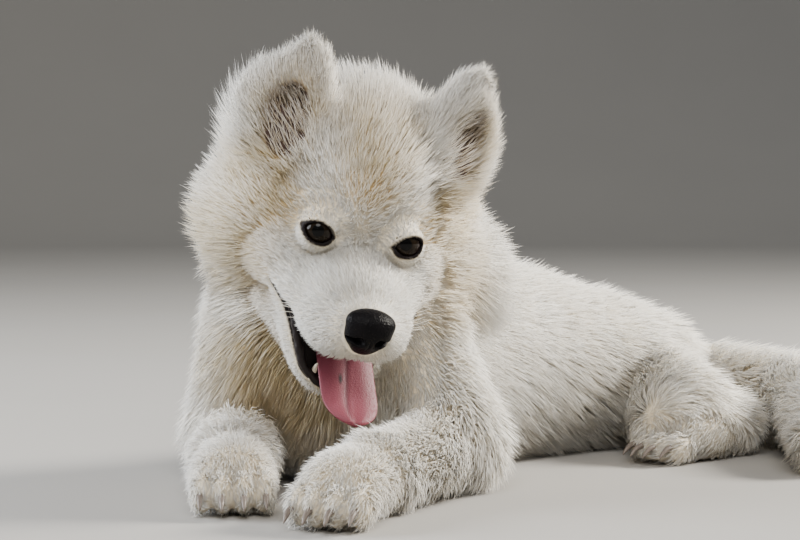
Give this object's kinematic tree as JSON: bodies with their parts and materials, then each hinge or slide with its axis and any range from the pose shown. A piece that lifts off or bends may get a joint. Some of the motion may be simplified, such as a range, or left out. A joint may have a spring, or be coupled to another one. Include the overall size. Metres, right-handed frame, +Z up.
{
  "type": "samoyed dog figure",
  "caption": "Life-size still figure of a young samoyed lying on its belly, head up and mouth open, forepaws stretched forward and bushy tail curled to its left.",
  "frame": {"origin": "on the floor, under the middle of the figure's box", "axes": "+Z up; the figure faces -Y and its left side is +X"},
  "size_m": [0.371, 0.5683, 0.275],
  "materials": {
    "coat": "long soft fur",
    "nose": "moist, finely pebbled",
    "eye": "wet gloss",
    "tongue": "moist",
    "claw": "horn, satin",
    "lip": "moist black skin",
    "tooth": "enamel"
  },
  "bodies": {
    "root": {"eye_left": "eye", "eye_right": "eye", "ear_left": "coat", "ear_right": "coat", "head": "coat", "lower_jaw": "coat", "neck": "coat", "chest": "coat", "loin": "coat", "rump": "coat", "upper_arm_left": "coat", "forearm_left": "coat", "fore_paw_left": "coat", "upper_arm_right": "coat", "forearm_right": "coat", "fore_paw_right": "coat", "thigh_left": "coat", "shank_left": "coat", "foot_left": "coat", "hind_paw_left": "coat", "thigh_right": "coat", "shank_right": "coat", "foot_right": "coat", "hind_paw_right": "coat", "tail_root": "coat", "tail_middle": "coat", "tail_tip": "coat", "nose": "nose", "tongue": "tongue", "claw_fore_left_1": "claw", "claw_fore_left_2": "claw", "claw_fore_left_3": "claw", "claw_fore_left_4": "claw", "claw_fore_right_1": "claw", "claw_fore_right_2": "claw", "claw_fore_right_3": "claw", "claw_fore_right_4": "claw", "claw_hind_left_1": "claw", "claw_hind_left_2": "claw", "claw_hind_left_3": "claw", "claw_hind_left_4": "claw", "claw_hind_right_1": "claw", "claw_hind_right_2": "claw", "claw_hind_right_3": "claw", "claw_hind_right_4": "claw"}
  },
  "joints": []
}
